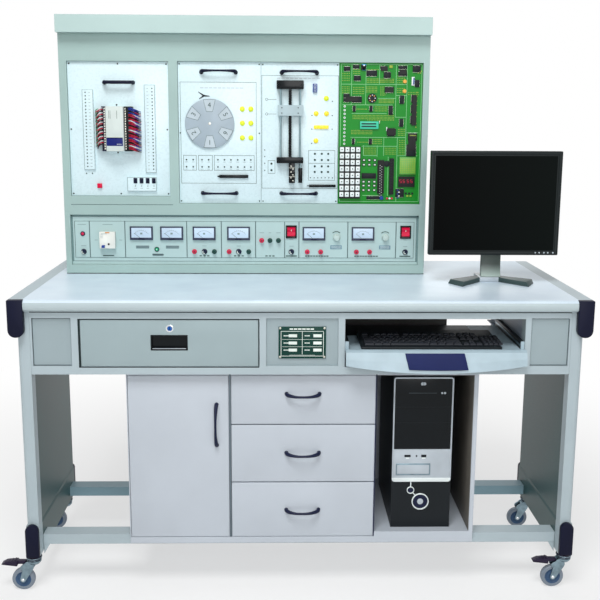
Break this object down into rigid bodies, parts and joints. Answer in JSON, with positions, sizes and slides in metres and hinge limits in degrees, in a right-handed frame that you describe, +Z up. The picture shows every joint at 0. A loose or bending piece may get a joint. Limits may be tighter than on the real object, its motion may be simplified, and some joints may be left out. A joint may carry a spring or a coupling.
{
  "type": "controller training rig",
  "caption": "Wheeled classroom desk with drawers, keyboard tray, cabinet, computer and an upright console of control experiment boards",
  "frame": {"origin": "on the floor, under the middle of the rig's outer box", "axes": "+X to the right and +Y to the back as seen from the front, +Z up"},
  "size_m": [1.662, 0.7704, 1.647],
  "materials": {
    "worktop": "satin",
    "frame_grey": "satin",
    "housing_grey": "satin",
    "navy_cap": "satin",
    "cabinet_grey": "satin",
    "console_green": "satin",
    "hood_green": "satin",
    "zinc": "satin",
    "wheel": "matte",
    "pedal": "matte",
    "lock": "polished",
    "tray": "satin",
    "pad": "matte",
    "keyboard": "matte",
    "tower_black": "satin",
    "bezel_black": "gloss",
    "monitor_black": "satin",
    "board_white": "satin",
    "circuit_green": "satin",
    "unit_grey": "matte",
    "disc": "satin",
    "machined": "satin",
    "screw": "satin",
    "rocker_red": "gloss",
    "knob": "matte",
    "toggle": "polished"
  },
  "bodies": {
    "desk": {"table_top": "worktop", "left_side_frame": "frame_grey", "right_side_frame": "frame_grey", "left_top_cap": "navy_cap", "right_top_cap": "navy_cap", "left_front_foot_cap": "navy_cap", "right_front_foot_cap": "navy_cap", "left_rear_foot_cap": "navy_cap", "right_rear_foot_cap": "navy_cap", "front_rail": "frame_grey", "rear_rail": "frame_grey", "desk_housing": "housing_grey", "cabinet_carcass": "cabinet_grey", "tower_case": "tower_black", "tower_bezel": "bezel_black", "monitor_base": "monitor_black", "console_housing": "console_green", "console_hood": "hood_green", "back_cover": "console_green", "plc_board": "board_white", "plc_unit": "unit_grey", "microcontroller_board": "circuit_green", "power_fascia": "board_white", "breaker_body": "unit_grey"},
    "keyboard_tray": {"keyboard_tray": "tray", "wrist_pad": "pad", "keyboard": "keyboard"},
    "positioning_board": {"positioning_board": "board_white", "guide_frame": "machined"},
    "monitor_neck": {"monitor_neck": "monitor_black"},
    "monitor_head": {"monitor_head": "monitor_black"},
    "left_front_fork": {"left_front_fork": "zinc"},
    "left_front_wheel": {"left_front_wheel": "wheel"},
    "left_front_brake_lever": {"left_front_brake_lever": "pedal"},
    "right_front_fork": {"right_front_fork": "zinc"},
    "right_front_wheel": {"right_front_wheel": "wheel"},
    "right_front_brake_lever": {"right_front_brake_lever": "pedal"},
    "left_rear_fork": {"left_rear_fork": "zinc"},
    "left_rear_wheel": {"left_rear_wheel": "wheel"},
    "right_rear_fork": {"right_rear_fork": "zinc"},
    "right_rear_wheel": {"right_rear_wheel": "wheel"},
    "desk_drawer": {"desk_drawer": "cabinet_grey"},
    "drawer_lock": {"drawer_lock": "lock"},
    "cabinet_door": {"cabinet_door": "cabinet_grey"},
    "upper_drawer": {"upper_drawer": "cabinet_grey"},
    "middle_drawer": {"middle_drawer": "cabinet_grey"},
    "lower_drawer": {"lower_drawer": "cabinet_grey"},
    "tool_magazine_board": {"tool_magazine_board": "board_white"},
    "tool_disc": {"tool_disc": "disc"},
    "carriage": {"carriage": "machined"},
    "lead_screw": {"lead_screw": "screw"},
    "breaker_lever": {"breaker_lever": "knob"},
    "mains_rocker": {"mains_rocker": "rocker_red"},
    "supply_rocker": {"supply_rocker": "rocker_red"},
    "left_voltage_knob": {"left_voltage_knob": "knob"},
    "right_voltage_knob": {"right_voltage_knob": "knob"},
    "toggle_1": {"toggle_1": "toggle"},
    "toggle_2": {"toggle_2": "toggle"},
    "toggle_3": {"toggle_3": "toggle"},
    "toggle_4": {"toggle_4": "toggle"}
  },
  "joints": [
    {"name": "monitor_swivel", "type": "hinge", "parent": "desk", "child": "monitor_neck", "pos_m": [0.607, -0.00484, 0.875], "axis": [0, 0, 1], "range_deg": [-45, 45]},
    {"name": "monitor_tilt", "type": "hinge", "parent": "monitor_neck", "child": "monitor_head", "pos_m": [0.607, -0.02784, 1.072], "axis": [-1, 0, 0], "range_deg": [-5, 21]},
    {"name": "left_front_swivel", "type": "hinge", "parent": "desk", "child": "left_front_fork", "pos_m": [-0.739, -0.30984, 0.112], "axis": [0, 0, 1], "continuous": true},
    {"name": "left_front_roll", "type": "hinge", "parent": "left_front_fork", "child": "left_front_wheel", "pos_m": [-0.771, -0.30984, 0.033], "axis": [0, 1, 0], "continuous": true},
    {"name": "left_brake", "type": "hinge", "parent": "left_front_fork", "child": "left_front_brake_lever", "pos_m": [-0.765, -0.30984, 0.085], "axis": [0, -1, 0], "range_deg": [0, 10]},
    {"name": "right_front_swivel", "type": "hinge", "parent": "desk", "child": "right_front_fork", "pos_m": [0.801, -0.30984, 0.112], "axis": [0, 0, 1], "continuous": true},
    {"name": "right_front_roll", "type": "hinge", "parent": "right_front_fork", "child": "right_front_wheel", "pos_m": [0.769, -0.30984, 0.033], "axis": [0, 1, 0], "continuous": true},
    {"name": "right_brake", "type": "hinge", "parent": "right_front_fork", "child": "right_front_brake_lever", "pos_m": [0.775, -0.30984, 0.085], "axis": [0, -1, 0], "range_deg": [0, 10]},
    {"name": "left_rear_swivel", "type": "hinge", "parent": "desk", "child": "left_rear_fork", "pos_m": [-0.739, 0.10516, 0.112], "axis": [0, 0, 1], "continuous": true},
    {"name": "left_rear_roll", "type": "hinge", "parent": "left_rear_fork", "child": "left_rear_wheel", "pos_m": [-0.771, 0.10516, 0.033], "axis": [0, 1, 0], "continuous": true},
    {"name": "right_rear_swivel", "type": "hinge", "parent": "desk", "child": "right_rear_fork", "pos_m": [0.801, 0.10516, 0.112], "axis": [0, 0, 1], "continuous": true},
    {"name": "right_rear_roll", "type": "hinge", "parent": "right_rear_fork", "child": "right_rear_wheel", "pos_m": [0.769, 0.10516, 0.033], "axis": [0, 1, 0], "continuous": true},
    {"name": "desk_drawer_slide", "type": "slide", "parent": "desk", "child": "desk_drawer", "axis": [0, -1, 0], "range_m": [0, 0.36]},
    {"name": "drawer_lock_turn", "type": "hinge", "parent": "desk_drawer", "child": "drawer_lock", "pos_m": [-0.333, -0.33184, 0.779], "axis": [0, 1, 0], "range_deg": [0, 90]},
    {"name": "keyboard_tray_slide", "type": "slide", "parent": "desk", "child": "keyboard_tray", "axis": [0, -1, 0], "range_m": [0, 0.3]},
    {"name": "cabinet_door_hinge", "type": "hinge", "parent": "desk", "child": "cabinet_door", "pos_m": [-0.4567, -0.30984, 0.1583], "axis": [0, 0, -1], "range_deg": [0, 110]},
    {"name": "upper_drawer_slide", "type": "slide", "parent": "desk", "child": "upper_drawer", "axis": [0, -1, 0], "range_m": [0, 0.35]},
    {"name": "middle_drawer_slide", "type": "slide", "parent": "desk", "child": "middle_drawer", "axis": [0, -1, 0], "range_m": [0, 0.35]},
    {"name": "lower_drawer_slide", "type": "slide", "parent": "desk", "child": "lower_drawer", "axis": [0, -1, 0], "range_m": [0, 0.35]},
    {"name": "tool_board_lift_out", "type": "slide", "parent": "desk", "child": "tool_magazine_board", "axis": [0, -1, 0], "range_m": [0, 0.06]},
    {"name": "positioning_board_lift_out", "type": "slide", "parent": "desk", "child": "positioning_board", "axis": [0, -1, 0], "range_m": [0, 0.06]},
    {"name": "tool_disc_turn", "type": "hinge", "parent": "tool_magazine_board", "child": "tool_disc", "pos_m": [-0.2475, 0.10036, 1.3285], "axis": [0, 1, 0], "continuous": true},
    {"name": "carriage_slide", "type": "slide", "parent": "positioning_board", "child": "carriage", "axis": [0, 0, 1], "range_m": [-0.12, 0.043]},
    {"name": "lead_screw_turn", "type": "hinge", "parent": "positioning_board", "child": "lead_screw", "pos_m": [0.0005, 0.09206, 1.228], "axis": [0, 0, 1], "range_deg": [-5401, 1936]},
    {"name": "breaker_throw", "type": "hinge", "parent": "desk", "child": "breaker_lever", "pos_m": [-0.5836, 0.09656, 0.9547], "axis": [-1, 0, 0], "range_deg": [0, 70]},
    {"name": "mains_rocker_throw", "type": "hinge", "parent": "desk", "child": "mains_rocker", "pos_m": [0.006, 0.11486, 0.9937], "axis": [-1, 0, 0], "range_deg": [0, 16]},
    {"name": "supply_rocker_throw", "type": "hinge", "parent": "desk", "child": "supply_rocker", "pos_m": [0.3683, 0.11486, 0.9937], "axis": [-1, 0, 0], "range_deg": [0, 16]},
    {"name": "left_voltage_turn", "type": "hinge", "parent": "desk", "child": "left_voltage_knob", "pos_m": [0.1495, 0.10886, 0.976], "axis": [0, 1, 0], "range_deg": [0, 270]},
    {"name": "right_voltage_turn", "type": "hinge", "parent": "desk", "child": "right_voltage_knob", "pos_m": [0.3043, 0.10886, 0.976], "axis": [0, 1, 0], "range_deg": [0, 270]},
    {"name": "toggle_1_throw", "type": "hinge", "parent": "desk", "child": "toggle_1", "pos_m": [-0.4797, 0.10366, 1.1535], "axis": [-1, 0, 0], "range_deg": [0, 40]},
    {"name": "toggle_2_throw", "type": "hinge", "parent": "desk", "child": "toggle_2", "pos_m": [-0.4607, 0.10366, 1.1535], "axis": [-1, 0, 0], "range_deg": [0, 40]},
    {"name": "toggle_3_throw", "type": "hinge", "parent": "desk", "child": "toggle_3", "pos_m": [-0.4417, 0.10366, 1.1535], "axis": [-1, 0, 0], "range_deg": [0, 40]},
    {"name": "toggle_4_throw", "type": "hinge", "parent": "desk", "child": "toggle_4", "pos_m": [-0.4227, 0.10366, 1.1535], "axis": [-1, 0, 0], "range_deg": [0, 40]}
  ],
  "couplings": [
    {"joint": "lead_screw_turn", "follows": "carriage_slide", "rad_per_m": 785.4}
  ]
}
